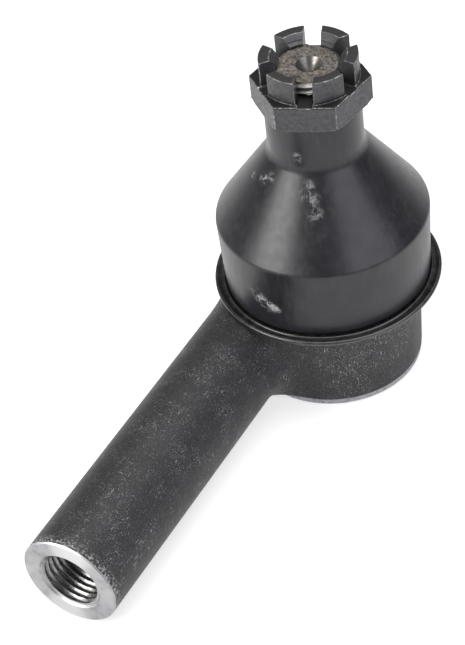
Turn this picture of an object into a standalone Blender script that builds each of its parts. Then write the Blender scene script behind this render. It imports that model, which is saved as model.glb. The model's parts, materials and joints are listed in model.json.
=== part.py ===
"""Outer tie rod end of a car's steering, as an assembly of separate pieces.

+Z is the ball stud's axis, pointing to the castle nut. The origin is the centre of the
cover plate's flat outer face. The threaded shank leaves the head along -Y, set to the
-X side of the stud. Every size is in metres.
"""

import math

import bmesh
import bpy
from mathutils import Matrix, Vector

# Running gap that keeps neighbouring pieces apart
GAP = 0.0003

# Forged housing: a round head with an offset, threaded shank
HEAD_BASE_RADIUS = 0.0168
HEAD_RADIUS = 0.0176
HEAD_MID_RADIUS = 0.0173
HEAD_EDGE = 0.0006
HEAD_SHOULDER_Z = 0.0188
SOCKET_RADIUS = 0.0166
SOCKET_TOP_Z = 0.0246
SHANK_X = -0.0103
SHANK_Z = 0.0094
SHANK_RADIUS = 0.0093
SHANK_END_Y = -0.0802
SHANK_CHAMFER = 0.0006
WEB_FILLET_RADIUS = 0.006
WEB_OUTER_RADIUS = 0.024
WEB_SINK = 0.0006
ROD_THREAD_RADIUS = 0.00545
ROD_THREAD_DEPTH = 0.043
ROD_COUNTERSINK_RADIUS = 0.0062
DRILL_HALF_ANGLE = math.radians(59)

# Ball and the stud above it
BALL_Z = 0.0145
BALL_RADIUS = 0.0102
STUD_NECK_RADIUS = 0.0051
STUD_NECK_TOP_Z = 0.028
NECK_FLARE = 0.0007
NECK_FLARE_HEIGHT = 0.0025
TAPER_START_Z = 0.033
TAPER_END_Z = 0.0552
TAPER_START_RADIUS = 0.00725
TAPER_SLOPE = 0.05
STUD_THREAD_RADIUS = 0.0057
STUD_TOP_Z = 0.0676
STUD_TOP_RADIUS = 0.00545
STUD_RELIEF = 0.0006
CENTRE_DRILL_RADIUS = 0.0024
CENTRE_PILOT_RADIUS = 0.0008
CENTRE_PILOT_DEPTH = 0.0012
CENTRE_POINT_DEPTH = 0.0004
CENTRE_HALF_ANGLE = math.radians(30)
COTTER_HOLE_RADIUS = 0.0016
COTTER_HOLE_Z = 0.0636

# Socket lining around the ball
SEAT_RADIUS = 0.0122
SEAT_SPLIT_Z = 0.0128
SEAT_TOP_ANGLE = 37.5
SEAT_RIM_ANGLE = 41.0
MOUTH_RADIUS = 0.009
MOUTH_TOP_RADIUS = 0.0102
CUP_BOTTOM_Z = 0.0039
CUP_HOLE_RADIUS = 0.004
SPRING_BOTTOM_Z = 0.0025
SPRING_THICKNESS = 0.0006
SPRING_DISH = 0.0005
SPRING_OUTER_RADIUS = 0.0118
SPRING_INNER_RADIUS = 0.006

# Cover plate, held by the housing's rolled lip
LIP_RADIUS = 0.012
LIP_THICKNESS = 0.0007
COVER_RADIUS = 0.0141
COVER_BOSS_RADIUS = 0.0109
COVER_SEAT_Z = 0.0025
COVER_THICKNESS = 0.0014
COVER_BOSS_WALL = 0.0006

# Castle nut, 19 mm across flats, with six slots
NUT_BOTTOM_Z = 0.0598
NUT_SHOULDER_Z = 0.0651
NUT_TOP_Z = 0.0697
NUT_ACROSS_FLATS = 0.019
NUT_CHAMFER_RADIUS = 0.0101
NUT_CHAMFER_DROP = 0.0005
NUT_SLOT_WIDTH = 0.0032
NUT_SINK_RADIUS = 0.0069
CROWN_RADIUS = 0.0089
CROWN_EDGE = 0.0004
NUT_YAW = math.radians(21.3)

# Rubber dust boot
BOOT_BOTTOM_Z = 0.0207
BOOT_TOP_Z = 0.0595
BOOT_SKIRT_RADIUS = 0.0194
BOOT_SHOULDER_RADIUS = 0.0199
BOOT_SHOULDER_Z = 0.035
BOOT_NECK_RADIUS = 0.00885
BOOT_CONE_ANGLE = math.radians(35.5)
BOOT_NECK_FILLET = 0.0035
BOOT_ROUNDING = 0.0012
BOOT_EDGE = 0.0002
BOOT_WALL = 0.0016
BOOT_NECK_WALL = 0.00095
BUSH_BOTTOM_Z = 0.0525
BUSH_TOP_Z = 0.0592
BUSH_INNER_RADIUS = 0.0067

# Steel ring that holds the boot on the housing
RING_INNER_RADIUS = SOCKET_RADIUS + GAP
RING_WALL = 0.0007
RING_FLANGE_RADIUS = 0.02154
RING_BOTTOM_Z = 0.0192
RING_FLANGE_TOP_Z = 0.0203
RING_TOP_Z = 0.0242

# How far a cutter runs past the face that it cuts
TOOL_MARGIN = 0.001

FINE_SEGMENTS = 48
PLAIN_SEGMENTS = 36
BORE_SEGMENTS = 24


def clear_scene():
    for item in list(bpy.data.objects):
        bpy.data.objects.remove(item, do_unlink=True)


def material(name, color, roughness, metallic):
    finish = bpy.data.materials.new(name)
    finish.use_nodes = True
    shader = finish.node_tree.nodes["Principled BSDF"]
    shader.inputs["Base Color"].default_value = (*color, 1.0)
    shader.inputs["Roughness"].default_value = roughness
    shader.inputs["Metallic"].default_value = metallic
    return finish


def forged_black(name):
    return material(name, (0.055, 0.053, 0.053), 0.55, 0.6)


def black_rubber(name):
    return material(name, (0.03, 0.03, 0.032), 0.4, 0.0)


def phosphate_steel(name):
    return material(name, (0.12, 0.12, 0.125), 0.45, 0.8)


def bare_steel(name):
    return material(name, (0.42, 0.4, 0.38), 0.35, 0.9)


def seat_plastic(name):
    return material(name, (0.75, 0.73, 0.66), 0.4, 0.0)


def arc(centre_r, centre_z, radius, start, end, steps):
    """Points (radius, height) on an arc in the turning plane, angles in degrees."""
    points = []
    for step in range(steps + 1):
        angle = math.radians(start + (end - start) * step / steps)
        points.append((centre_r + radius * math.cos(angle), centre_z + radius * math.sin(angle)))
    return points


def new_object(name, bm, finish):
    bmesh.ops.recalc_face_normals(bm, faces=bm.faces)
    mesh = bpy.data.meshes.new(name)
    bm.to_mesh(mesh)
    bm.free()
    mesh.shade_smooth()
    mesh.set_sharp_from_angle(angle=math.radians(35))
    item = bpy.data.objects.new(name, mesh)
    bpy.context.scene.collection.objects.link(item)
    if finish is not None:
        mesh.materials.append(finish)
    return item


def turned(name, outline, segments, finish=None, closed=False):
    """A solid of revolution about Z. A closed outline is a ring that misses the axis."""
    bm = bmesh.new()
    verts = [bm.verts.new((radius, 0.0, height)) for radius, height in outline]
    ends = zip(verts, verts[1:] + verts[:1]) if closed else zip(verts, verts[1:])
    edges = [bm.edges.new(pair) for pair in ends]
    bmesh.ops.spin(
        bm,
        geom=verts + edges,
        cent=(0.0, 0.0, 0.0),
        axis=(0.0, 0.0, 1.0),
        angle=math.tau,
        steps=segments,
        use_merge=True,
    )
    bmesh.ops.remove_doubles(bm, verts=bm.verts, dist=1e-7)
    return new_object(name, bm, finish)


def as_tool(item):
    """Hide a cutter or an added block: only the solid that it shapes is part of the model."""
    item.hide_render = True
    item.display_type = "WIRE"
    return item


def combine(item, tool, operation):
    step = item.modifiers.new(tool.name, "BOOLEAN")
    step.object = as_tool(tool)
    step.operation = operation
    step.solver = "EXACT"


def cut(item, tool):
    combine(item, tool, "DIFFERENCE")


def add(item, tool):
    combine(item, tool, "UNION")


def hang_on(pivot, item):
    """Put a moving piece's origin on its joint's centre, without moving the piece."""
    item.data.transform(Matrix.Translation(-pivot.location))
    item.parent = pivot


def joint_centre(name, height):
    pivot = bpy.data.objects.new(name, None)
    pivot.location = Vector((0.0, 0.0, height))
    bpy.context.scene.collection.objects.link(pivot)
    return pivot


def head_blank(finish):
    """The head before machining: a round boss with a narrower socket on top."""
    edge = HEAD_EDGE
    outline = [
        (0.0, 0.0),
        (HEAD_BASE_RADIUS - edge, 0.0),
        (HEAD_BASE_RADIUS, edge),
        (HEAD_MID_RADIUS, SHANK_Z),
        (HEAD_RADIUS, HEAD_SHOULDER_Z - edge),
        (HEAD_RADIUS - edge, HEAD_SHOULDER_Z),
        (SOCKET_RADIUS, HEAD_SHOULDER_Z),
        (SOCKET_RADIUS, SOCKET_TOP_Z - edge),
        (SOCKET_RADIUS - edge, SOCKET_TOP_Z),
        (0.0, SOCKET_TOP_Z),
    ]
    return turned("housing", outline, FINE_SEGMENTS, finish)


def inner_corner():
    """Centre (x, y) of the concave corner between the shank and the head."""
    x = SHANK_X + SHANK_RADIUS + WEB_FILLET_RADIUS
    reach = HEAD_MID_RADIUS + WEB_FILLET_RADIUS
    return x, -math.sqrt(reach**2 - x**2)


def outer_sweep():
    """Centre (x, y) of the large arc that carries the shank's free side round the head."""
    x = SHANK_X - SHANK_RADIUS + WEB_OUTER_RADIUS
    reach = WEB_OUTER_RADIUS - HEAD_MID_RADIUS
    return x, -math.sqrt(reach**2 - x**2)


def inner_edge(y):
    """x of the shank's side next to the head: straight, then a concave corner into the head."""
    centre_x, start = inner_corner()
    end = start * HEAD_MID_RADIUS / (HEAD_MID_RADIUS + WEB_FILLET_RADIUS)
    turned_y = min(max(y, start), end)
    return centre_x - math.sqrt(WEB_FILLET_RADIUS**2 - (turned_y - start) ** 2)


def outer_edge(y):
    """x of the shank's free side: straight, then one large arc that closes round the head."""
    centre_x, start = outer_sweep()
    return centre_x - math.sqrt(WEB_OUTER_RADIUS**2 - (max(y, start) - start) ** 2)


def spread(start, end, steps):
    return [start + (end - start) * step / steps for step in range(steps + 1)]


def shank_sections():
    """(y, radius, x of the left half's centre, x of the right half's centre) along the shank."""
    _, corner_start = inner_corner()
    corner_end = corner_start * HEAD_MID_RADIUS / (HEAD_MID_RADIUS + WEB_FILLET_RADIUS)
    _, sweep_start = outer_sweep()
    sweep_end = -sweep_start * HEAD_MID_RADIUS / (WEB_OUTER_RADIUS - HEAD_MID_RADIUS)
    sections = [
        (SHANK_END_Y, SHANK_RADIUS - SHANK_CHAMFER, SHANK_X, SHANK_X),
        (SHANK_END_Y + SHANK_CHAMFER, SHANK_RADIUS, SHANK_X, SHANK_X),
    ]
    for y in spread(corner_start, corner_end, 6) + spread(sweep_start, sweep_end, 6):
        left = outer_edge(y) + SHANK_RADIUS
        right = max(inner_edge(y) - SHANK_RADIUS, left)
        sections.append((y, SHANK_RADIUS, left, right))
    # The last section is drawn in, so that the sweep ends below the head's surface
    sections[-1] = (sweep_end, SHANK_RADIUS - WEB_SINK, left, right)
    return sections


def shank_blank():
    """The shank before drilling, which widens and runs on around the head's far side."""
    bm = bmesh.new()
    rings = []
    for y, radius, left, right in shank_sections():
        ring = []
        for step in range(PLAIN_SEGMENTS):
            angle = math.tau * (step + 0.5) / PLAIN_SEGMENTS
            centre = right if math.cos(angle) > 0.0 else left
            x = centre + radius * math.cos(angle)
            ring.append(bm.verts.new((x, y, SHANK_Z + radius * math.sin(angle))))
        rings.append(ring)
    for near, far in zip(rings, rings[1:]):
        for step in range(PLAIN_SEGMENTS):
            following = (step + 1) % PLAIN_SEGMENTS
            bm.faces.new((near[step], near[following], far[following], far[step]))
    bm.faces.new(rings[0])
    bm.faces.new(rings[-1])
    return new_object("shank_blank", bm, None)


def rod_bore_cutter():
    """Blind hole for the inner rod's thread, with a countersunk mouth and a drill point."""
    sink = ROD_COUNTERSINK_RADIUS - ROD_THREAD_RADIUS
    point = ROD_THREAD_RADIUS / math.tan(DRILL_HALF_ANGLE)
    outline = [
        (0.0, -TOOL_MARGIN),
        (ROD_COUNTERSINK_RADIUS + TOOL_MARGIN, -TOOL_MARGIN),
        (ROD_THREAD_RADIUS, sink),
        (ROD_THREAD_RADIUS, ROD_THREAD_DEPTH),
        (0.0, ROD_THREAD_DEPTH + point),
    ]
    cutter = turned("rod_bore_cutter", outline, BORE_SEGMENTS)
    cutter.rotation_euler = (math.radians(-90), 0.0, 0.0)
    cutter.location = (SHANK_X, SHANK_END_Y, SHANK_Z)
    return cutter


def socket_cutter():
    """The space for the ball and its lining, open below for the cover and above for the stud."""
    wall = SEAT_RADIUS + GAP
    mouth_angle = math.degrees(math.acos(MOUTH_RADIUS / wall))
    outline = [
        (0.0, -TOOL_MARGIN),
        (LIP_RADIUS, -TOOL_MARGIN),
        (LIP_RADIUS, LIP_THICKNESS),
        (COVER_RADIUS + GAP, LIP_THICKNESS),
        (COVER_RADIUS + GAP, COVER_SEAT_Z),
        (wall, COVER_SEAT_Z),
    ]
    outline += arc(0.0, BALL_Z, wall, 0.0, mouth_angle, 6)
    outline += [
        (MOUTH_TOP_RADIUS, SOCKET_TOP_Z + TOOL_MARGIN),
        (0.0, SOCKET_TOP_Z + TOOL_MARGIN),
    ]
    return turned("socket_cutter", outline, FINE_SEGMENTS)


def housing():
    body = head_blank(forged_black("housing_black"))
    add(body, shank_blank())
    cut(body, socket_cutter())
    cut(body, rod_bore_cutter())
    return body


def ball_stud():
    neck_angle = math.degrees(math.acos(STUD_NECK_RADIUS / BALL_RADIUS))
    taper_end_radius = TAPER_START_RADIUS - TAPER_SLOPE * (TAPER_END_Z - TAPER_START_Z)
    drill_depth = (CENTRE_DRILL_RADIUS - CENTRE_PILOT_RADIUS) / math.tan(CENTRE_HALF_ANGLE)
    pilot_end = STUD_TOP_Z - drill_depth - CENTRE_PILOT_DEPTH
    outline = arc(0.0, BALL_Z, BALL_RADIUS, -90.0, neck_angle, 14)
    outline += [
        (STUD_NECK_RADIUS, STUD_NECK_TOP_Z),
        (STUD_NECK_RADIUS + NECK_FLARE, STUD_NECK_TOP_Z + NECK_FLARE_HEIGHT),
        (TAPER_START_RADIUS, TAPER_START_Z),
        (taper_end_radius, TAPER_END_Z),
        (STUD_THREAD_RADIUS, TAPER_END_Z + STUD_RELIEF),
        (STUD_THREAD_RADIUS, STUD_TOP_Z - STUD_RELIEF),
        (STUD_TOP_RADIUS, STUD_TOP_Z),
        (CENTRE_DRILL_RADIUS, STUD_TOP_Z),
        (CENTRE_PILOT_RADIUS, STUD_TOP_Z - drill_depth),
        (CENTRE_PILOT_RADIUS, pilot_end),
        (0.0, pilot_end - CENTRE_POINT_DEPTH),
    ]
    stud = turned("ball_stud", outline, PLAIN_SEGMENTS, bare_steel("stud_steel"))
    reach = 2 * STUD_THREAD_RADIUS
    hole_outline = [
        (0.0, -reach),
        (COTTER_HOLE_RADIUS, -reach),
        (COTTER_HOLE_RADIUS, reach),
        (0.0, reach),
    ]
    hole = turned("cotter_hole_cutter", hole_outline, BORE_SEGMENTS)
    hole.rotation_euler = (math.radians(90), 0.0, NUT_YAW)
    hole.location = (0.0, 0.0, COTTER_HOLE_Z)
    cut(stud, hole)
    return stud


def upper_ball_seat():
    """Plastic ring above the ball's equator. Its rim stops where the tilted stud passes."""
    inner = BALL_RADIUS + GAP
    split = SEAT_SPLIT_Z - BALL_Z
    outline = [(SEAT_RADIUS, SEAT_SPLIT_Z)]
    outline += arc(0.0, BALL_Z, SEAT_RADIUS, 0.0, SEAT_RIM_ANGLE, 5)
    outline += arc(0.0, BALL_Z, inner, SEAT_TOP_ANGLE, math.degrees(math.asin(split / inner)), 6)
    return turned("upper_ball_seat", outline, PLAIN_SEGMENTS, seat_plastic("seat_nylon"), closed=True)


def lower_pressure_cup():
    """Plastic cup that the spring presses up against the ball."""
    inner = BALL_RADIUS + GAP
    rim_z = SEAT_SPLIT_Z - GAP
    rim_angle = math.degrees(math.asin((rim_z - BALL_Z) / inner))
    hole_angle = -math.degrees(math.acos(CUP_HOLE_RADIUS / inner))
    outline = [(CUP_HOLE_RADIUS, CUP_BOTTOM_Z), (SEAT_RADIUS, CUP_BOTTOM_Z), (SEAT_RADIUS, rim_z)]
    outline += arc(0.0, BALL_Z, inner, rim_angle, hole_angle, 7)
    return turned("lower_pressure_cup", outline, PLAIN_SEGMENTS, seat_plastic("cup_nylon"), closed=True)


def preload_spring():
    """Dished spring washer between the cover plate and the cup."""
    outline = [
        (SPRING_OUTER_RADIUS, SPRING_BOTTOM_Z),
        (SPRING_OUTER_RADIUS, SPRING_BOTTOM_Z + SPRING_THICKNESS),
        (SPRING_INNER_RADIUS, SPRING_BOTTOM_Z + SPRING_THICKNESS + SPRING_DISH),
        (SPRING_INNER_RADIUS, SPRING_BOTTOM_Z + SPRING_DISH),
    ]
    return turned("preload_spring", outline, PLAIN_SEGMENTS, bare_steel("spring_steel"), closed=True)


def cover_plate():
    """Pressed plate whose boss is flush with the head's base and whose rim sits under the lip."""
    rim_z = LIP_THICKNESS + GAP
    outline = [
        (0.0, 0.0),
        (COVER_BOSS_RADIUS, 0.0),
        (COVER_BOSS_RADIUS + COVER_BOSS_WALL, rim_z),
        (COVER_RADIUS, rim_z),
        (COVER_RADIUS, COVER_SEAT_Z - GAP),
        (COVER_BOSS_RADIUS - GAP, COVER_SEAT_Z - GAP),
        (COVER_BOSS_RADIUS - COVER_BOSS_WALL - GAP, COVER_THICKNESS),
        (0.0, COVER_THICKNESS),
    ]
    return turned("cover_plate", outline, PLAIN_SEGMENTS, phosphate_steel("cover_steel"))


def hexagon(name, corner_radius, bottom, top, finish):
    """Upright hexagonal prism with its flats facing the yaw of the nut."""
    bm = bmesh.new()
    rings = []
    for height in (bottom, top):
        ring = []
        for step in range(6):
            angle = NUT_YAW - math.radians(90) + math.radians(60) * (step + 0.5)
            x = corner_radius * math.cos(angle)
            y = corner_radius * math.sin(angle)
            ring.append(bm.verts.new((x, y, height)))
        rings.append(ring)
    for step in range(6):
        following = (step + 1) % 6
        side = (rings[0][step], rings[0][following], rings[1][following], rings[1][step])
        bm.faces.new(side)
    for ring in rings:
        bm.faces.new(ring)
    return new_object(name, bm, finish)


def nut_chamfer_tool(corner_radius):
    """Turned envelope that takes the hexagon's lower corners off."""
    outside = corner_radius + TOOL_MARGIN
    outline = [
        (0.0, NUT_BOTTOM_Z),
        (NUT_CHAMFER_RADIUS, NUT_BOTTOM_Z),
        (corner_radius, NUT_BOTTOM_Z + NUT_CHAMFER_DROP),
        (outside, NUT_BOTTOM_Z + NUT_CHAMFER_DROP + TOOL_MARGIN),
        (outside, NUT_SHOULDER_Z + TOOL_MARGIN),
        (0.0, NUT_SHOULDER_Z + TOOL_MARGIN),
    ]
    return turned("nut_chamfer_tool", outline, FINE_SEGMENTS)


def crown_tool():
    outline = [
        (0.0, NUT_SHOULDER_Z - TOOL_MARGIN),
        (CROWN_RADIUS, NUT_SHOULDER_Z - TOOL_MARGIN),
        (CROWN_RADIUS, NUT_TOP_Z - CROWN_EDGE),
        (CROWN_RADIUS - CROWN_EDGE, NUT_TOP_Z),
        (0.0, NUT_TOP_Z),
    ]
    return turned("crown_tool", outline, PLAIN_SEGMENTS)


def slot_cutter(index):
    """Bar that cuts two opposite slots through the crown."""
    bm = bmesh.new()
    bmesh.ops.create_cube(bm, size=1.0)
    depth = NUT_TOP_Z - NUT_SHOULDER_Z
    size = Vector((NUT_SLOT_WIDTH, 3 * CROWN_RADIUS, 2 * depth))
    bmesh.ops.scale(bm, vec=size, verts=bm.verts)
    cutter = new_object(f"slot_cutter_{index}", bm, None)
    cutter.location = (0.0, 0.0, NUT_TOP_Z)
    cutter.rotation_euler = (0.0, 0.0, NUT_YAW + math.radians(60) * index)
    return cutter


def nut_bore_cutter():
    """Through hole with a countersunk top."""
    radius = STUD_THREAD_RADIUS + GAP
    outline = [
        (0.0, NUT_BOTTOM_Z - TOOL_MARGIN),
        (radius, NUT_BOTTOM_Z - TOOL_MARGIN),
        (radius, NUT_TOP_Z - (NUT_SINK_RADIUS - radius)),
        (NUT_SINK_RADIUS + TOOL_MARGIN, NUT_TOP_Z + TOOL_MARGIN),
        (0.0, NUT_TOP_Z + TOOL_MARGIN),
    ]
    return turned("nut_bore_cutter", outline, PLAIN_SEGMENTS)


def castle_nut():
    corner_radius = NUT_ACROSS_FLATS / 2 / math.cos(math.radians(30))
    finish = phosphate_steel("nut_phosphate")
    nut = hexagon("castle_nut", corner_radius, NUT_BOTTOM_Z, NUT_SHOULDER_Z, finish)
    combine(nut, nut_chamfer_tool(corner_radius), "INTERSECT")
    add(nut, crown_tool())
    cut(nut, nut_bore_cutter())
    for index in range(3):
        cut(nut, slot_cutter(index))
    return nut


def boot_surface(inset, neck_radius):
    """Outline of the boot's rubber from the neck down to the skirt, inset from the outside."""
    slope = math.tan(BOOT_CONE_ANGLE)
    fillet = BOOT_NECK_FILLET + inset
    shoulder_radius = BOOT_SHOULDER_RADIUS - inset
    cone_drop = inset * math.tan(BOOT_CONE_ANGLE / 2)
    shoulder_z = BOOT_SHOULDER_Z - cone_drop
    fillet_reach = fillet * (1.0 - math.cos(BOOT_CONE_ANGLE))
    cone_top_radius = neck_radius + fillet_reach
    cone_top_z = shoulder_z + (shoulder_radius - cone_top_radius) / slope
    centre_z = cone_top_z + fillet * math.sin(BOOT_CONE_ANGLE)
    turn = 180.0 + math.degrees(BOOT_CONE_ANGLE)
    points = arc(neck_radius + fillet, centre_z, fillet, 180.0, turn, 4)
    points += [
        (shoulder_radius - BOOT_ROUNDING * slope, shoulder_z + BOOT_ROUNDING),
        (shoulder_radius, shoulder_z - BOOT_ROUNDING / 2),
        (BOOT_SKIRT_RADIUS - inset, BOOT_BOTTOM_Z + BOOT_ROUNDING),
    ]
    return points


def dust_boot():
    inner_neck = BOOT_NECK_RADIUS - BOOT_NECK_WALL
    outer = boot_surface(0.0, BOOT_NECK_RADIUS)
    inner = boot_surface(BOOT_WALL, inner_neck)
    edge = BOOT_EDGE
    outline = [(BOOT_NECK_RADIUS - edge, BOOT_TOP_Z), (BOOT_NECK_RADIUS, BOOT_TOP_Z - edge)]
    outline += outer
    outline += [(BOOT_SKIRT_RADIUS, BOOT_BOTTOM_Z), (BOOT_SKIRT_RADIUS - BOOT_WALL, BOOT_BOTTOM_Z)]
    outline += reversed(inner)
    outline.append((inner_neck, BOOT_TOP_Z))
    return turned("dust_boot", outline, FINE_SEGMENTS, black_rubber("boot_rubber"), closed=True)


def boot_neck_bush():
    """Stiff slide ring inside the boot's neck, in which the stud turns."""
    outer = BOOT_NECK_RADIUS - BOOT_NECK_WALL - GAP
    outline = [
        (BUSH_INNER_RADIUS, BUSH_BOTTOM_Z),
        (outer, BUSH_BOTTOM_Z),
        (outer, BUSH_TOP_Z),
        (BUSH_INNER_RADIUS, BUSH_TOP_Z),
    ]
    return turned("boot_neck_bush", outline, PLAIN_SEGMENTS, seat_plastic("bush_plastic"), closed=True)


def boot_base_ring():
    """Black steel ring around the socket. Its flange shows below the boot's skirt."""
    outer = RING_INNER_RADIUS + RING_WALL
    edge = (RING_FLANGE_TOP_Z - RING_BOTTOM_Z) / 2
    outline = [(RING_INNER_RADIUS, RING_BOTTOM_Z)]
    outline += arc(RING_FLANGE_RADIUS - edge, RING_BOTTOM_Z + edge, edge, -90.0, 90.0, 4)
    outline += [(outer, RING_FLANGE_TOP_Z), (outer, RING_TOP_Z), (RING_INNER_RADIUS, RING_TOP_Z)]
    return turned("boot_base_ring", outline, FINE_SEGMENTS, forged_black("ring_black"), closed=True)


def main():
    clear_scene()
    housing()
    cover_plate()
    boot_base_ring()
    dust_boot()
    pivot = joint_centre("ball_centre", BALL_Z)
    for build in (upper_ball_seat, lower_pressure_cup, preload_spring, boot_neck_bush, ball_stud):
        hang_on(pivot, build())
    hang_on(joint_centre("nut_seat", NUT_BOTTOM_Z), castle_nut())


main()
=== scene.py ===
import json
import math

import bmesh
import bpy
import numpy as np
from mathutils import Matrix, Vector


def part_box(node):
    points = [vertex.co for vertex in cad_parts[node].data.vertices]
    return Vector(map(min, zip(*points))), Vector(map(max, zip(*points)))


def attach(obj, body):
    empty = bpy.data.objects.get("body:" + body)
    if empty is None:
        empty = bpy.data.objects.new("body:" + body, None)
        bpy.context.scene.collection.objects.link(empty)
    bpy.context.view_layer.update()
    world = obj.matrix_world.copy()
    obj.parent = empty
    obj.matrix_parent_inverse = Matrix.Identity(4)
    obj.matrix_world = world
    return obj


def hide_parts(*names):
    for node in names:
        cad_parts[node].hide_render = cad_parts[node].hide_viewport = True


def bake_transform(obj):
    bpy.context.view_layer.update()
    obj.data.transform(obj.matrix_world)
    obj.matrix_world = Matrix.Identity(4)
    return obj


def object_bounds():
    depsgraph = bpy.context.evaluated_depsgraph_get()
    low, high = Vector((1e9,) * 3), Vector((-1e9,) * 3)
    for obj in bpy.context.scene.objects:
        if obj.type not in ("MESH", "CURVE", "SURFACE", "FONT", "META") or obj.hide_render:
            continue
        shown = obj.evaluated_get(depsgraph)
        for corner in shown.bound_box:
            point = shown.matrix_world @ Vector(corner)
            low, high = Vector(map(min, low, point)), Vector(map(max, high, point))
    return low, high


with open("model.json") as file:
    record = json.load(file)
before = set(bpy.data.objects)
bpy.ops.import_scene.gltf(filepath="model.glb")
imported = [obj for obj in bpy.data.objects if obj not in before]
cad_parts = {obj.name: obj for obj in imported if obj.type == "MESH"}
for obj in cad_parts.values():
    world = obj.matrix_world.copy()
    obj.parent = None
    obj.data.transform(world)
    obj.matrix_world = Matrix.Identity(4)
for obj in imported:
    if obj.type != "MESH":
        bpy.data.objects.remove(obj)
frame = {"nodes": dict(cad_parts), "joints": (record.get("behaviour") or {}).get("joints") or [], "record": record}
cad_low, cad_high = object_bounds()

# Places that the frame gives, in metres
_, HOUSING_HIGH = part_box("housing")
_, COVER_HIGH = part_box("cover_plate")
RING_LOW, RING_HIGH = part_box("boot_base_ring")
BOOT_LOW, BOOT_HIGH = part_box("dust_boot")
STUD_LOW, STUD_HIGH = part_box("ball_stud")
NUT_LOW, NUT_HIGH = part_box("castle_nut")
MOUNTS = {mount["name"]: Vector(mount["pos_m"]) for mount in frame["record"]["mounts"]}
JOINTS = {joint["name"]: joint for joint in frame["joints"]}
BALL_Z = JOINTS["stud_tilt"]["pos_m"][2]
SHANK_X, SHANK_END_Y, _ = MOUNTS["shank_end_face"]

# Forged housing. Lengths are in metres throughout
SHANK_RADIUS = 0.0093
SHANK_Z = 0.0094
SHANK_INNER_END_Y = -0.0047
SHANK_CHAMFER = 0.00025
HEAD_RADIUS = 0.0172
HEAD_TAPER = 0.03
WEB_BLEND = 0.0062
SHOULDER_Z = 0.0188
SOCKET_RADIUS = 0.0166
SOCKET_CHAMFER = 0.0005
LIP_HEIGHT = 0.0014
LIP_RADIUS = 0.0169
LIP_ROUND = 0.0005
LIP_THICKNESS = 0.0007
LIP_BORE_RADIUS = 0.012
COVER_SEAT_Z = 0.0025
SEAT_BORE_RADIUS = 0.0125
MOUTH_RADIUS = 0.009
BORE_DEPTH = 0.040

# Spare metal of the forging before machining, and the voxels of its rough mesh
HEAD_SPARE = 0.002
SHANK_SPARE = 0.003
FORGING_VOXEL = 0.00045

# Cover plate
COVER_EDGE = 0.0003
COVER_RIM_Z = 0.001
COVER_RIM_WIDTH = 0.0032
COVER_THICKNESS = 0.0014

# Ring that holds the boot
RING_WALL = 0.0007
RING_EDGE = 0.00045
RING_FILLET = 0.0004
RING_FLANGE = 0.0008
RING_BEAD = 0.0003

# M12 x 1.25 threads
PITCH = 0.00125
STUD_ROOT_RADIUS = 0.0052
STUD_CREST_RADIUS = 0.00592
FEMALE_ROOT_RADIUS = 0.0054
FEMALE_CREST_RADIUS = 0.00603
# Rows of one turn: share of the pitch, share of the thread's depth
THREAD_ROWS = [
    (0.0, 0.0),
    (0.19, 0.0),
    (0.23, 0.08),
    (0.49, 0.93),
    (0.53, 1.0),
    (0.64, 1.0),
    (0.68, 0.93),
    (0.94, 0.08),
]

# Ball stud
STUD_NECK_RADIUS = 0.0051
# Neck and taper: radius, height
STUD_TAPER = [
    (STUD_NECK_RADIUS, 0.0285),
    (0.0054, 0.0302),
    (0.0062, 0.0320),
    (0.0072, 0.0332),
    (0.00725, 0.0336),
    (0.0062, 0.0552),
]
THREAD_START = 0.0562
THREAD_RELIEF = 0.0006
STUD_TIP_RADIUS = 0.0057
DRILL_MOUTH_RADIUS = 0.0024
DRILL_PILOT_RADIUS = 0.0008
DRILL_CONE_DEPTH = 0.00277
DRILL_PILOT_DEPTH = 0.0040
DRILL_DEPTH = 0.0044
COTTER_RADIUS = 0.0016
COTTER_Z = 0.0636

# Castle nut
SIXTH_TURN = math.radians(60)
ACROSS_FLATS = 0.019
NUT_CORNER_RADIUS = ACROSS_FLATS / 2 / math.cos(math.radians(30))
NUT_CHAMFER_WIDTH = 0.0009
NUT_CHAMFER_HEIGHT = 0.0005
NUT_SHOULDER_Z = 0.0651
CROWN_RADIUS = 0.0089
SLOT_WIDTH = 0.0032
SLOT_CORNER = 0.0007
SLOT_FLOOR_Z = NUT_SHOULDER_Z - 0.0002
NUT_SINK_RADIUS = 0.0069
NUT_EDGE = 0.00014
NUT_YAW = math.radians(21.3)

# Dust boot
NECK_RADIUS = 0.00885
NECK_LIP = 0.00025
NECK_FILLET = 0.0035
BOOT_SHOULDER_Z = 0.035
BOOT_SHOULDER_FILLET = 0.0012
BOOT_SHOULDER_BULGE = 0.00005
SKIRT_FOOT_RADIUS = 0.0194
SKIRT_FOOT_HEIGHT = 0.0016
SKIRT_FOOT_ROUND = 0.0003
BOOT_WALL = 0.0016
NECK_WALL = 0.00095
# How steeply the cone between neck and shoulder falls away from the upright, in degrees
CONE_ANGLE = 35.5

# How far tools reach past the metal. The long reach is for the nut's slots and the rod's tap
TOOL_REACH = 0.001
LONG_REACH = 0.002

# Middle of the rubbed part of the head, and how far the rubbing reaches
HEAD_RUB = (0.0140, -0.0110, 0.0150)
HEAD_RUB_REACH = 0.014

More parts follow.
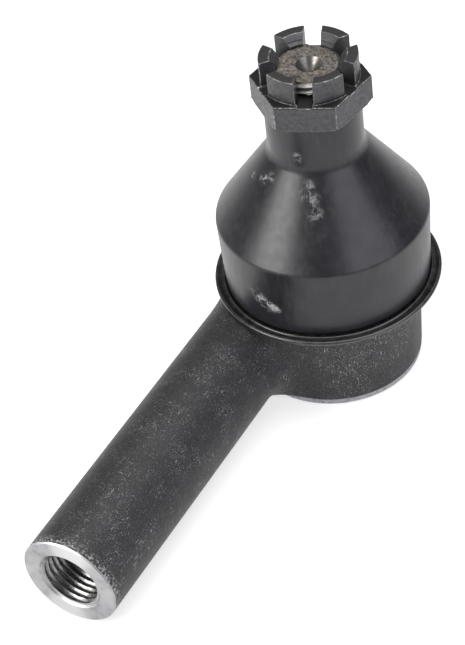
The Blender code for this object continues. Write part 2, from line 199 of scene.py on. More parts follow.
# Scuffs on the boot: where, how far they reach, how strong
BOOT_SCUFFS = [
    ((-0.0092, -0.0083, 0.0461), 0.0011, 1.5),
    ((-0.0062, -0.0097, 0.0473), 0.0015, 1.5),
    ((-0.0044, -0.0099, 0.0484), 0.0014, 0.9),
    ((0.0011, -0.0088, 0.0534), 0.0014, 1.2),
    ((0.0036, -0.0100, 0.0486), 0.0017, 0.6),
    ((0.0032, -0.0111, 0.0473), 0.0018, 0.6),
    ((0.0048, -0.0111, 0.0466), 0.0018, 0.65),
    ((0.0056, -0.0123, 0.0445), 0.0021, 0.6),
    ((-0.0044, -0.0191, 0.0281), 0.0024, 0.5),
    ((-0.0032, -0.0193, 0.0267), 0.0022, 0.9),
    ((-0.0015, -0.0195, 0.0259), 0.0020, 1.3),
    ((-0.0003, -0.0196, 0.0257), 0.0014, 1.5),
]

# Mesh attribute that holds where each point of a bending piece is at rest
REST_PLACE = "rest_place"

# Points closer than this become one, in metres
MERGE_DISTANCE = 1e-8

# Edges sharper than this, in degrees, stay sharp in the shading
SHARP_ANGLE = 32
RUBBER_SHARP_ANGLE = 50

# Textures are laid out in millimetres
MM = 1000.0

# Inputs and output of a Mix node that carry colours
MIX_COLORS_IN = (6, 7)
MIX_COLOR_OUT = 2

# Camera, in metres and degrees
CAMERA_AZIMUTH = 34.11
CAMERA_ELEVATION = 42.27
CAMERA_ROLL = -7.78
CAMERA_DISTANCE = 0.40697
CAMERA_TARGET = Vector((0.0, -0.015, 0.030))
CAMERA_OFFSET = Vector((-0.0110, -0.00699))
CAMERA_LENS = 124.28

# Studio
FLOOR_HALF_WIDTH = 12.0
FLOOR_GAP = 0.0002
LIGHT_CENTRE = Vector((0.0, -0.02, 0.03))


# ---------------------------------------------------------------- mesh tools


def arc(radius, height, size, start, end, steps):
    """Points (radius, height) round a centre in the turning plane, angles in degrees."""
    points = []
    for step in range(steps + 1):
        angle = math.radians(start + (end - start) * step / steps)
        points.append((radius + size * math.cos(angle), height + size * math.sin(angle)))
    return points


def with_rows(outline, spacing):
    """The same outline with its long stretches divided into rows about a spacing apart."""
    points = [outline[0]]
    for (r0, z0), (r1, z1) in zip(outline, outline[1:]):
        pieces = max(1, round(math.hypot(r1 - r0, z1 - z0) / spacing))
        for piece in range(1, pieces + 1):
            share = piece / pieces
            points.append((r0 + (r1 - r0) * share, z0 + (z1 - z0) * share))
    return points


def finish_mesh(name, verts, faces, finishes):
    """Makes a linked, smooth-shaded piece of clean, outward-facing faces."""
    mesh = bpy.data.meshes.new(name)
    mesh.from_pydata(verts, [], faces)
    bm = bmesh.new()
    bm.from_mesh(mesh)
    bmesh.ops.remove_doubles(bm, verts=bm.verts, dist=MERGE_DISTANCE)
    bmesh.ops.dissolve_degenerate(bm, edges=bm.edges, dist=MERGE_DISTANCE)
    bmesh.ops.recalc_face_normals(bm, faces=bm.faces)
    bm.to_mesh(mesh)
    bm.free()
    for finish in finishes:
        mesh.materials.append(finish)
    piece = bpy.data.objects.new(name, mesh)
    bpy.context.scene.collection.objects.link(piece)
    shade(piece)
    return piece


def shade(piece, angle=SHARP_ANGLE):
    piece.data.shade_smooth()
    piece.data.set_sharp_from_angle(angle=math.radians(angle))


def turned(name, outline, finishes, segments=128, closed=False):
    """A solid turned about Z. Closed means that the last point joins the first."""
    on_axis = 1e-9
    verts, faces, rings = [], [], []
    for radius, height in outline:
        if radius < on_axis:
            rings.append([len(verts)] * segments)
            verts.append((0.0, 0.0, height))
            continue
        rings.append(list(range(len(verts), len(verts) + segments)))
        for step in range(segments):
            angle = math.tau * step / segments
            verts.append((radius * math.cos(angle), radius * math.sin(angle), height))
    pairs = list(zip(rings, rings[1:]))
    if closed:
        pairs.append((rings[-1], rings[0]))
    for upper, lower in pairs:
        for step in range(segments):
            after = (step + 1) % segments
            corners = [upper[step], upper[after], lower[after], lower[step]]
            corners = list(dict.fromkeys(corners))
            if len(corners) > 2:
                faces.append(corners)
    return finish_mesh(name, verts, faces, finishes)


def thread_depth(share):
    """Share of the thread's depth at a share of its pitch."""
    shares = [row[0] for row in THREAD_ROWS] + [1.0]
    depths = [row[1] for row in THREAD_ROWS] + [THREAD_ROWS[0][1]]
    return float(np.interp(share % 1.0, shares, depths))


def screw(name, root, crest, low, high, finishes, columns=72, tip_radius=None):
    """A closed, flat-ended screw about Z. With a tip radius, a 45 degree cone cuts its top."""
    count = len(THREAD_ROWS)
    turns = math.ceil((high - low) / PITCH) + 2
    verts, faces, grid = [], [], []

    def vertex(column, height, depth):
        angle = math.tau * column / columns
        radius = root + (crest - root) * depth
        if tip_radius is not None:
            radius = min(radius, tip_radius + high - height)
        verts.append((radius * math.cos(angle), radius * math.sin(angle), height))
        return len(verts) - 1

    first = math.floor(low / PITCH) - 1
    for column in range(columns):
        start = PITCH * (first + column / columns)
        bottom = vertex(column, low, thread_depth((low - start) / PITCH))
        top = vertex(column, high, thread_depth((high - start) / PITCH))
        rows = []
        for row in range((turns + 1) * count):
            share, depth = THREAD_ROWS[row % count]
            height = start + PITCH * (row // count + share)
            if height <= low:
                rows.append(bottom)
            elif height >= high:
                rows.append(top)
            else:
                rows.append(vertex(column, height, depth))
        grid.append(rows)
    for column in range(columns):
        last = column == columns - 1
        following = grid[0][count:] if last else grid[column + 1]
        rows = grid[column]
        for row in range(min(len(rows), len(following)) - 1):
            corners = [rows[row], following[row], following[row + 1], rows[row + 1]]
            corners = list(dict.fromkeys(corners))
            if len(corners) > 2:
                faces.append(corners)
    faces.append([rows[0] for rows in grid])
    faces.append([rows[-1] for rows in grid])
    return finish_mesh(name, verts, faces, finishes)


def prism(name, outline, low, high, finishes):
    """Upright prism over an outline of (x, y) points."""
    count = len(outline)
    verts = [(x, y, low) for x, y in outline] + [(x, y, high) for x, y in outline]
    faces = [[i, (i + 1) % count, count + (i + 1) % count, count + i] for i in range(count)]
    faces += [list(range(count)), list(range(count, 2 * count))]
    return finish_mesh(name, verts, faces, finishes)


def apply_modifiers(piece):
    view = bpy.context.evaluated_depsgraph_get()
    mesh = bpy.data.meshes.new_from_object(piece.evaluated_get(view), depsgraph=view)
    old = piece.data
    piece.modifiers.clear()
    piece.data = mesh
    bpy.data.meshes.remove(old)
    mesh.name = piece.name


def combine(piece, tool, operation):
    """Cuts, joins or intersects with a tool, which is used up. New faces keep its material."""
    step = piece.modifiers.new("combine", "BOOLEAN")
    step.object = tool
    step.operation = operation
    step.solver = "EXACT"
    step.material_mode = "TRANSFER"
    apply_modifiers(piece)
    bpy.data.objects.remove(tool, do_unlink=True)


# ---------------------------------------------------------------- materials


class Finish:
    """A material under construction: a Principled shader and the nodes that feed it.

    The finish of a piece that bends is laid out at its points' places at rest, so that it
    moves with the surface. Settings are the shader's inputs, with _ for a space."""

    def __init__(self, name, bends=False, **settings):
        self.material = bpy.data.materials.new(name)
        self.material.use_nodes = True
        self.tree = self.material.node_tree
        self.shader = self.tree.nodes["Principled BSDF"]
        for socket, value in settings.items():
            self.set(self.shader, socket.replace("_", " "), value)
        if bends:
            rest = self.tree.nodes.new("ShaderNodeAttribute")
            rest.attribute_name = REST_PLACE
            place = rest.outputs["Vector"]
        else:
            place = self.tree.nodes.new("ShaderNodeTexCoord").outputs["Object"]
        self.millimetres = self.vector("MULTIPLY", place, (MM, MM, MM))

    def set(self, node, socket, value):
        """Links a node's output to an input, or gives the input a fixed value."""
        target = node.inputs[socket]
        if isinstance(value, bpy.types.NodeSocket):
            self.tree.links.new(value, target)
        elif target.type == "RGBA":
            target.default_value = (*value, 1.0)
        else:
            target.default_value = value

    def surface(self, color, roughness):
        self.set(self.shader, "Base Color", color)
        self.set(self.shader, "Roughness", roughness)

    def vector(self, operation, first, second=(0.0, 0.0, 0.0)):
        node = self.tree.nodes.new("ShaderNodeVectorMath")
        node.operation = operation
        self.set(node, 0, first)
        self.set(node, 1, second)
        is_number = operation in ("LENGTH", "DISTANCE", "DOT_PRODUCT")
        return node.outputs["Value" if is_number else "Vector"]

    def math(self, operation, first, second=0.0, clamp=False):
        node = self.tree.nodes.new("ShaderNodeMath")
        node.operation = operation
        node.use_clamp = clamp
        self.set(node, 0, first)
        self.set(node, 1, second)
        return node.outputs[0]

    def axis(self, name):
        """The place along X, Y or Z, in millimetres."""
        node = self.tree.nodes.new("ShaderNodeSeparateXYZ")
        self.set(node, 0, self.millimetres)
        return node.outputs[name]

    def noise(self, scale, detail=2.0, stretch=(1.0, 1.0, 1.0), roughness=0.5, shift=0.0):
        """Noise with about one bump per millimetre at scale 1, drawn out by stretch."""
        node = self.tree.nodes.new("ShaderNodeTexNoise")
        inverse = tuple(1.0 / share for share in stretch)
        place = self.vector("MULTIPLY", self.millimetres, inverse)
        place = self.vector("ADD", place, (shift, shift, shift))
        self.set(node, "Vector", place)
        self.set(node, "Scale", scale)
        self.set(node, "Detail", detail)
        self.set(node, "Roughness", roughness)
        return node.outputs["Fac"]

    def ramp(self, value, low, high, to_low=0.0, to_high=1.0):
        """Smooth step from to_low to to_high while the value goes from low to high."""
        node = self.tree.nodes.new("ShaderNodeMapRange")
        node.interpolation_type = "SMOOTHSTEP"
        self.set(node, "Value", value)
        self.set(node, "From Min", low)
        self.set(node, "From Max", high)
        self.set(node, "To Min", to_low)
        self.set(node, "To Max", to_high)
        return node.outputs["Result"]

    def mix(self, share, first, second):
        """The first colour, turning into the second as the share goes from 0 to 1."""
        node = self.tree.nodes.new("ShaderNodeMix")
        node.data_type = "RGBA"
        self.set(node, "Factor", share)
        for socket, color in zip(MIX_COLORS_IN, (first, second)):
            self.set(node, socket, color)
        return node.outputs[MIX_COLOR_OUT]

    def near(self, point, reach):
        """1 at a point of the object, falling to 0 at the reach, in metres."""
        away = self.vector("DISTANCE", self.millimetres, tuple(MM * part for part in point))
        return self.ramp(away, 0.0, MM * reach, 1.0, 0.0)

    def bump(self, height, depth, strength=1.0, normal=None):
        """Feeds the shader's normal. A normal that is handed in carries an earlier bump."""
        node = self.tree.nodes.new("ShaderNodeBump")
        self.set(node, "Height", height)
        self.set(node, "Distance", depth)
        self.set(node, "Strength", strength)
        if normal is not None:
            self.set(node, "Normal", normal)
        self.set(self.shader, "Normal", node.outputs[0])
        return node.outputs[0]


def forged_black():
    """Black oxide over a forging, with fine light flecks, a little rust, nicks and scratches."""
    oxide, pale_oxide = (0.0135, 0.0132, 0.0141), (0.0178, 0.0174, 0.0187)
    fleck, rust_brown = (0.085, 0.083, 0.090), (0.075, 0.045, 0.033)
    bare_steel = (0.31, 0.305, 0.31)
    along_x, along_y, along_z = (9.0, 1.0, 2.0), (1.0, 9.0, 1.5), (1.5, 2.0, 9.0)
    finish = Finish("forged_black", Metallic=0.1, Specular_IOR_Level=0.3)
    mottle = finish.noise(0.3, detail=6.0, roughness=0.6)
    base = finish.mix(finish.ramp(mottle, 0.34, 0.68), oxide, pale_oxide)
    grain = finish.noise(7.0, detail=3.0, roughness=0.6, shift=7.0)
    base = finish.mix(finish.ramp(grain, 0.5, 0.72, 0.0, 0.65), base, fleck)
    rust = finish.ramp(finish.noise(0.5, detail=4.0, shift=33.0), 0.6, 0.75, 0.0, 0.2)
    base = finish.mix(rust, base, rust_brown)
    patches = finish.noise(0.2, detail=4.0, roughness=0.6, shift=21.0)
    patches = finish.ramp(patches, 0.44, 0.62, 0.3, 1.0)
    rubbed = finish.math("MULTIPLY", finish.near(HEAD_RUB, HEAD_RUB_REACH), 1.6)
    patches = finish.math("ADD", patches, rubbed)
    nicks = finish.noise(6.5, detail=2.0, roughness=0.6, shift=3.0)
    marks = finish.ramp(nicks, 0.61, 0.68)
    for stretch, shift in ((along_y, 11.0), (along_x, 13.0), (along_z, 17.0)):
        scratch = finish.noise(5.8, detail=1.0, stretch=stretch, shift=shift)
        marks = finish.math("MAXIMUM", marks, finish.ramp(scratch, 0.67, 0.76, 0.0, 0.75))
    marks = finish.math("MULTIPLY", marks, patches, clamp=True)
    end = MM * SHANK_END_Y
    end_wear = finish.ramp(finish.axis("Y"), end + 0.4, end + 2.6, 1.0, 0.0)
    worn_spots = finish.ramp(finish.noise(2.2, detail=4.0), 0.48, 0.6)
    end_wear = finish.math("MULTIPLY", end_wear, worn_spots)
    marks = finish.math("MAXIMUM", marks, end_wear)
    base = finish.mix(finish.math("MULTIPLY", marks, 0.8), base, bare_steel)
    finish.surface(base, finish.ramp(mottle, 0.3, 0.7, 0.54, 0.50))
    coarse = finish.noise(1.1, detail=5.0, roughness=0.6, shift=5.0)
    coarse = finish.bump(coarse, 0.00007, 0.8)
    finish.bump(grain, 0.00003, 0.8, coarse)
    return finish.material


def turned_steel():
    """Bright, freshly turned steel: fine concentric tool marks round the shank's axis, and
    two sectors of painted highlight, lighter in base colour, above and below it."""
    steel, stained, light = (0.36, 0.36, 0.37), (0.29, 0.29, 0.29), (0.56, 0.56, 0.56)
    shank_axis, across_shank = (0.0, 1.0, 0.0), (1.0, 0.0, 1.0)
    painted_highlight_axis = (0.2, 0.0, 0.98)
    # Radians of the ring pattern per millimetre outwards
    ring_rate = 38.0
    finish = Finish("turned_steel", Metallic=1.0, Anisotropic=0.85)
    centre = (MM * SHANK_X, 0.0, MM * SHANK_Z)
    outward = finish.vector("SUBTRACT", finish.millimetres, centre)
    outward = finish.vector("MULTIPLY", outward, across_shank)
    around = finish.vector("CROSS_PRODUCT", outward, shank_axis)
    turn = finish.tree.nodes.new("ShaderNodeVectorTransform")
    turn.vector_type = "VECTOR"
    turn.convert_from = "OBJECT"
    turn.convert_to = "WORLD"
    finish.set(turn, 0, around)
    finish.set(finish.shader, "Tangent", finish.vector("NORMALIZE", turn.outputs[0]))
    rings = finish.math("MULTIPLY", finish.vector("LENGTH", outward), ring_rate)
    rings = finish.math("SINE", rings)
    stain = finish.noise(0.6, detail=4.0)
    base = finish.mix(finish.ramp(stain, 0.42, 0.75), steel, stained)
    # Painted highlight: the base colour turns to the light colour where the outward direction lies near this axis,
    # standing in for the highlights of the concentric tool marks
    outward = finish.vector("NORMALIZE", outward)
    upright = finish.math("ABSOLUTE", finish.vector("DOT_PRODUCT", outward, painted_highlight_axis))
    base = finish.mix(finish.ramp(upright, 0.8, 1.0), base, light)
    finish.surface(base, finish.ramp(stain, 0.3, 0.7, 0.3, 0.4))
    finish.bump(rings, 0.000005, 0.7)
    return finish.material


def scuff_places(finish):
    """How strongly the boot is scuffed at each place."""
    marks = None
    for point, reach, strength in BOOT_SCUFFS:
        spot = finish.math("MULTIPLY", finish.near(point, reach), strength)
        marks = spot if marks is None else finish.math("ADD", marks, spot)
    return marks


def boot_rubber():
    """Semi-gloss black rubber with faint dusty streaks and a few chalky scuffs."""
    rubber, pale_rubber = (0.0082, 0.0078, 0.0105), (0.0145, 0.0138, 0.0180)
    dust_grey, chalk_grey = (0.2, 0.2, 0.21), (0.30, 0.30, 0.31)
    finish = Finish("boot_rubber", bends=True, Specular_IOR_Level=0.44)
    cloud = finish.noise(0.22, detail=4.0, roughness=0.55)
    base = finish.mix(finish.ramp(cloud, 0.35, 0.7), rubber, pale_rubber)
    speck = finish.noise(1.1, detail=5.0, roughness=0.72, stretch=(1.6, 1.6, 1.0), shift=9.0)
    speck = finish.ramp(speck, 0.47, 0.62)
    streak = finish.noise(2.6, detail=3.0, roughness=0.6, stretch=(1.0, 1.0, 6.0), shift=19.0)
    streak = finish.ramp(streak, 0.5, 0.66, 0.0, 0.8)
    chalk = finish.math("MAXIMUM", speck, streak)
    marks = finish.math("MULTIPLY", scuff_places(finish), chalk, clamp=True)
    streaks = finish.noise(1.2, detail=3.0, stretch=(1.0, 1.0, 6.0), shift=15.0)
    dust = finish.ramp(finish.noise(0.15, detail=2.0, shift=27.0), 0.4, 0.75, 0.0, 0.06)
    dust = finish.math("MULTIPLY", dust, finish.ramp(streaks, 0.45, 0.7))
    base = finish.mix(dust, base, dust_grey)
    base = finish.mix(marks, base, chalk_grey)
    finish.surface(base, finish.ramp(streaks, 0.35, 0.65, 0.33, 0.38))
    coarse = finish.noise(0.5, detail=3.0, stretch=(1.0, 1.0, 3.0))
    coarse = finish.bump(coarse, 0.00005, 0.3)
    finish.bump(finish.noise(7.0, detail=2.0, shift=4.0), 0.00001, 0.35, coarse)
    return finish.material


def gloss_black():
    """Black coating of the ring that holds the boot."""
    coating, worn_coating = (0.010, 0.010, 0.010), (0.03, 0.028, 0.026)
    finish = Finish("ring_black", Specular_IOR_Level=0.75)
    cloud = finish.noise(0.7, detail=4.0)
    base = finish.mix(finish.ramp(cloud, 0.4, 0.8), coating, worn_coating)
    finish.surface(base, finish.ramp(cloud, 0.3, 0.75, 0.26, 0.4))
    finish.bump(finish.noise(1.2, detail=2.0), 0.00001, 0.25)
    return finish.material


def phosphate(name, painted_shade_height=None, top_height=None):
    """Dark grey phosphate coating over steel. It can have painted shade, near black, round one height, and a
    darker top face, both given in metres."""
    dark, light, fleck = (0.050, 0.050, 0.053), (0.074, 0.073, 0.077), (0.2, 0.195, 0.19)
    painted_shade, dark_top = (0.008, 0.008, 0.008), (0.022, 0.019, 0.017)
    finish = Finish(name, Metallic=0.55)
    mottle = finish.noise(1.5, detail=6.0, roughness=0.6)
    grain = finish.noise(8.0, detail=2.0, shift=5.0)
    base = finish.mix(finish.ramp(mottle, 0.36, 0.68), dark, light)
    base = finish.mix(finish.ramp(grain, 0.55, 0.8, 0.0, 0.22), base, fleck)
    # Painted shade: the colour turns near black within half a millimetre of this height, standing in for the shade
    # on the nut's shoulder and in its slot floors
    if painted_shade_height is not None:
        away = finish.math("SUBTRACT", finish.axis("Z"), MM * painted_shade_height)
        away = finish.math("ABSOLUTE", away)
        base = finish.mix(finish.ramp(away, 0.15, 0.5, 0.85, 0.0), base, painted_shade)
    if top_height is not None:
        top = MM * top_height
        on_top = finish.ramp(finish.axis("Z"), top - 0.2, top - 0.05, 0.0, 0.6)
        base = finish.mix(on_top, base, dark_top)
    finish.surface(base, finish.ramp(mottle, 0.3, 0.7, 0.5, 0.38))
    coarse = finish.bump(finish.noise(2.0, detail=4.0, shift=2.0), 0.00003, 0.5)
    finish.bump(grain, 0.000015, 0.5, coarse)
    return finish.material


def worn_edge():
    """Steel that shows through the nut's coating along its edges."""
    coated, bare = (0.08, 0.08, 0.082), (0.36, 0.355, 0.35)
    finish = Finish("worn_edge", Metallic=0.5)
    wear = finish.noise(1.6, detail=5.0, roughness=0.65)
    finish.surface(finish.mix(finish.ramp(wear, 0.46, 0.7), coated, bare), 0.4)
    finish.bump(finish.noise(4.0, detail=3.0), 0.00002, 0.4)
    return finish.material


def stud_end_steel():
    """The stud's sawn end: dull, warm grey, with dark specks and faint streaks."""
    dark, light, speck = (0.075, 0.062, 0.052), (0.25, 0.225, 0.20), (0.025, 0.02, 0.017)
    finish = Finish("stud_end", Metallic=0.5)
    mottle = finish.noise(1.2, detail=6.0, roughness=0.65)
    base = finish.mix(finish.ramp(mottle, 0.3, 0.72), dark, light)
    specks = finish.ramp(finish.noise(2.6, detail=3.0, shift=6.0), 0.52, 0.64)
    streaks = finish.noise(2.2, detail=1.0, stretch=(7.0, 1.0, 1.0), shift=8.0)
    streaks = finish.ramp(streaks, 0.62, 0.7)
    marks = finish.math("MAXIMUM", specks, streaks)
    base = finish.mix(finish.math("MULTIPLY", marks, 0.85), base, speck)
    finish.surface(base, finish.ramp(mottle, 0.3, 0.7, 0.58, 0.42))
    finish.bump(finish.noise(4.0, detail=4.0), 0.00004, 0.6)
    return finish.material


def bright_steel(name, roughness, color):
    """Bare steel with darker stains, whose gloss varies about the roughness."""
    finish = Finish(name, Metallic=1.0)
    stain = finish.noise(1.4, detail=4.0)
    darker = tuple(0.6 * part for part in color)
    base = finish.mix(finish.ramp(stain, 0.4, 0.8), color, darker)
    finish.surface(base, finish.ramp(stain, 0.3, 0.7, 0.8 * roughness, 1.3 * roughness))
    finish.bump(finish.noise(5.0, detail=2.0), 0.000006, 0.4)
    return finish.material


def plastic(name, color):
    finish = Finish(name, Specular_IOR_Level=0.4)
    cloud = finish.noise(0.6, detail=3.0)
    darker = tuple(0.85 * part for part in color)
    finish.surface(finish.mix(finish.ramp(cloud, 0.3, 0.7), color, darker), 0.4)
    finish.bump(finish.noise(6.0, detail=2.0), 0.00001, 0.3)
    return finish.material


def pale_floor():
    """Matt floor that glows a little, so that it comes out pale near the object."""
    dark, light, white = (0.49, 0.49, 0.49), (0.51, 0.51, 0.51), (1.0, 1.0, 1.0)
    finish = Finish("pale_floor", Specular_IOR_Level=0.0, Emission_Color=white)
    away = finish.vector("LENGTH", finish.millimetres)
    glow = finish.ramp(away, 180.0, 900.0, 0.62, 0.12)
    finish.set(finish.shader, "Emission Strength", glow)
    tone = finish.noise(0.004, detail=2.0)
    finish.surface(finish.mix(finish.ramp(tone, 0.3, 0.7), dark, light), 0.9)
    return finish.material


# ---------------------------------------------------------------- housing


def head_distance(points):
    """Signed distance to the head's blank: an upright boss, a little wider at the top."""
    radius = np.hypot(points[:, 0], points[:, 1])
    wall = HEAD_RADIUS + HEAD_TAPER * (points[:, 2] - SHANK_Z)
    side = radius - wall
    middle = HOUSING_HIGH.z / 2
    end = np.abs(points[:, 2] - middle) - (middle + HEAD_SPARE)
    outside = np.hypot(np.maximum(side, 0.0), np.maximum(end, 0.0))
    return outside + np.minimum(np.maximum(side, end), 0.0)


def shank_distance(points):
    """Signed distance to the shank's blank: a round bar that ends inside the head."""
    past = np.maximum(points[:, 1] - SHANK_INNER_END_Y, 0.0)
    across = np.hypot(points[:, 0] - SHANK_X, points[:, 2] - SHANK_Z)
    return np.hypot(across, past) - SHANK_RADIUS


def forging_distance(points):
    """Head and shank run into each other with the round corners of a forging."""
    head = head_distance(points)
    shank = shank_distance(points)
    overlap = np.maximum(WEB_BLEND - np.abs(head - shank), 0.0) / WEB_BLEND
    return np.minimum(head, shank) - overlap**2 * WEB_BLEND / 4


def settle_on_forging(mesh):
    """Moves each point of a rough mesh straight onto the forging's surface, apart from the
    shank's spare end, which is cut off later."""
    rounds = 4
    reach = 1e-5
    least_slope = 0.2
    count = len(mesh.vertices)
    flat = np.empty(count * 3)
    mesh.vertices.foreach_get("co", flat)
    points = flat.reshape(-1, 3)
    for _ in range(rounds):
        gradient = np.empty_like(points)
        for axis in range(3):
            step = np.zeros(3)
            step[axis] = reach
            ahead, behind = forging_distance(points + step), forging_distance(points - step)
            gradient[:, axis] = (ahead - behind) / (2 * reach)
        slope = np.maximum(np.linalg.norm(gradient, axis=1, keepdims=True), least_slope)
        shift = forging_distance(points)[:, None] * gradient / slope**2
        settles = points[:, 1] > SHANK_END_Y - SHANK_SPARE / 2
        points = points - np.where(settles[:, None], shift, 0.0)
    mesh.vertices.foreach_set("co", points.ravel())
    mesh.update()


def forging_blank(finishes):
    """The forging before machining, with spare metal at the head's ends and the shank's end."""
    # Roughly the head's taper, because the points settle on the exact one afterwards
    base_radius, top_radius = HEAD_RADIUS - 0.0003, HEAD_RADIUS + 0.0004
    head_outline = [
        (0.0, -HEAD_SPARE),
        (base_radius, -HEAD_SPARE),
        (top_radius, HOUSING_HIGH.z + HEAD_SPARE),
        (0.0, HOUSING_HIGH.z + HEAD_SPARE),
    ]
    head = turned("housing_forging", head_outline, finishes)
    length = SHANK_INNER_END_Y - SHANK_END_Y + SHANK_SPARE
    shank_outline = [(0.0, -length), (SHANK_RADIUS, -length)]
    shank_outline += arc(0.0, 0.0, SHANK_RADIUS, 0.0, 90.0, 12)
    shank = turned("shank", shank_outline, finishes)
    place = Matrix.Translation((SHANK_X, SHANK_INNER_END_Y, SHANK_Z))
    shank.data.transform(place @ Matrix.Rotation(math.radians(-90), 4, "X"))
    combine(head, shank, "UNION")
    remesh = head.modifiers.new("remesh", "REMESH")
    remesh.mode = "VOXEL"
    remesh.voxel_size = FORGING_VOXEL
    apply_modifiers(head)
    settle_on_forging(head.data)
    head.data.materials.clear()
    for finish in finishes:
        head.data.materials.append(finish)
    return head


def head_turning(finish):
    """What the lathe takes off the head's base, round the lip and inside the socket.

    Its cut round the lip reaches the near end of the shank's underside too."""
    cut_radius, cut_depth = 0.03, 0.006
    above_head = HOUSING_HIGH.z + 0.004
    # The mouth opens upwards by this much up to above_head
    mouth_flare = 0.0016
    mouth_angle = math.degrees(math.acos(MOUTH_RADIUS / SEAT_BORE_RADIUS))
    cover_radius = COVER_HIGH.x + 0.0003
    inside = [(0.0, -cut_depth), (cut_radius, -cut_depth), (cut_radius, LIP_HEIGHT)]
    inside.append((LIP_RADIUS, LIP_HEIGHT))
    inside += arc(LIP_RADIUS - LIP_ROUND, LIP_ROUND, LIP_ROUND, 0.0, -90.0, 8)
    inside += [
        (LIP_BORE_RADIUS, 0.0),
        (LIP_BORE_RADIUS, LIP_THICKNESS),
        (cover_radius, LIP_THICKNESS),
        (cover_radius, COVER_SEAT_Z),
        (SEAT_BORE_RADIUS, COVER_SEAT_Z),
    ]
    inside += arc(0.0, BALL_Z, SEAT_BORE_RADIUS, 0.0, mouth_angle, 16)
    inside += [(MOUTH_RADIUS + mouth_flare, above_head), (0.0, above_head)]
    return turned("head_turning", inside, [finish])


def shoulder_turning(finish):
    """What the lathe takes off round the socket, down to the shoulder below the ring."""
    cut_radius = RING_HIGH.x + 0.0008
    above_head = HOUSING_HIGH.z + 0.006
    outline = [
        (SOCKET_RADIUS, SHOULDER_Z),
        (cut_radius, SHOULDER_Z),
        (cut_radius, above_head),
        (0.0, above_head),
        (0.0, HOUSING_HIGH.z),
        (SOCKET_RADIUS - SOCKET_CHAMFER, HOUSING_HIGH.z),
        (SOCKET_RADIUS, HOUSING_HIGH.z - SOCKET_CHAMFER),
    ]
    return turned("shoulder_turning", outline, [finish], closed=True)


def along_shank(tool):
    """Turns a tool that was made about Z, pointing up, into the shank from its end face."""
    place = Matrix.Translation((SHANK_X, SHANK_END_Y, SHANK_Z))
    tool.data.transform(place @ Matrix.Rotation(math.radians(-90), 4, "X"))
    return tool


def shank_facing(finish):
    """The end face, its small outer chamfer and the countersink."""
    cut_radius, cut_height = 0.016, 0.008
    sink_radius, sink_depth = FEMALE_CREST_RADIUS + 0.0002, 0.00035
    outline = [
        (0.0, -cut_height),
        (cut_radius, -cut_height),
        (cut_radius, SHANK_CHAMFER + TOOL_REACH),
        (SHANK_RADIUS + TOOL_REACH, SHANK_CHAMFER + TOOL_REACH),
        (SHANK_RADIUS - SHANK_CHAMFER, 0.0),
        (sink_radius, 0.0),
        (sink_radius - sink_depth, sink_depth),
        (0.0, sink_depth),
    ]
    return along_shank(turned("shank_facing", outline, [finish]))


def rod_tap(finish):
    """The shank's blind thread for the steering rod."""
    low, high = -LONG_REACH, BORE_DEPTH
    tap = screw("rod_tap", FEMALE_ROOT_RADIUS, FEMALE_CREST_RADIUS, low, high, [finish])
    return along_shank(tap)


def housing():
    black, bright = forged_black(), turned_steel()
    tapped = bright_steel("tapped_steel", 0.3, (0.24, 0.24, 0.24))
    lip = bright_steel("machined_lip", 0.42, (0.34, 0.34, 0.36))
    body = forging_blank([black, bright, lip, tapped])
    tools = (head_turning(lip), shoulder_turning(black), shank_facing(bright), rod_tap(tapped))
    for tool in tools:
        combine(body, tool, "DIFFERENCE")
    shade(body)
    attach(body, "head")
    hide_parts("housing")


# ---------------------------------------------------------------- other pieces


def cover_plate():
    """Pressed closing plate: a flat boss with soft pressed edges under the rolled lip."""
    inner_row = 0.003
    wall_lean = 0.0002
    # Both ends of the slope from the rim's top down to the boss
    slope_top, slope_foot = 0.0004, 0.0012
    edge = COVER_EDGE
    boss = COVER_HIGH.x - COVER_RIM_WIDTH
    rim = COVER_HIGH.x - edge
    outline = [(0.0, 0.0), (inner_row, 0.0)]
    outline += arc(boss - edge, edge, edge, -90.0, 0.0, 6)
    outline += arc(boss + edge + wall_lean, COVER_RIM_Z - edge, edge, 180.0, 90.0, 6)
    outline += arc(rim, COVER_RIM_Z + edge, edge, -90.0, 0.0, 6)
    outline += arc(rim, COVER_HIGH.z - edge, edge, 0.0, 90.0, 6)
    outline += [
        (boss - slope_top, COVER_HIGH.z),
        (boss - slope_foot, COVER_THICKNESS),
        (0.0, COVER_THICKNESS),
    ]
    plate = turned("closing_plate", outline, [phosphate("cover_phosphate")])
    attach(plate, "head")
    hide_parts("cover_plate")


def base_ring():
    """Sleeve round the socket with a thin dished flange and a bead at the boot's foot."""
    clearance = 0.0003
    # The flange's flat underside stops this far short of the rim, which lifts by this much
    rim_run, rim_lift = 0.0012, 0.00035
    # The rim slopes down on its inside over this run to this height above the underside
    slope_run, slope_foot = 0.0006, 0.00095
    # The bead's centre is this far outside the boot's foot, with flat flange further in
    bead_gap, bead_run, bead_height = 0.00035, 0.0005, 0.0009
    inner = SOCKET_RADIUS + clearance
    sleeve = inner + RING_WALL
    rim = RING_HIGH.x - RING_EDGE
    bead = SKIRT_FOOT_RADIUS + bead_gap
    flange_z = RING_LOW.z + RING_FLANGE
    fillet = sleeve + RING_FILLET
    outline = [(inner, RING_LOW.z), (rim - rim_run, RING_LOW.z)]
    outline += arc(rim, RING_LOW.z + rim_lift + RING_EDGE, RING_EDGE, -75.0, 110.0, 14)
    outline += [(rim - slope_run, RING_LOW.z + slope_foot)]
    outline += arc(bead, RING_LOW.z + bead_height, RING_BEAD, 10.0, 165.0, 10)
    outline += [(bead - bead_run, flange_z), (fillet, flange_z)]
    outline += arc(fillet, flange_z + RING_FILLET, RING_FILLET, 270.0, 180.0, 5)
    outline += [(sleeve, RING_HIGH.z), (inner, RING_HIGH.z)]
    ring = turned("flange_ring", outline, [gloss_black()], segments=192, closed=True)
    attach(ring, "head")
    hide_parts("boot_base_ring")


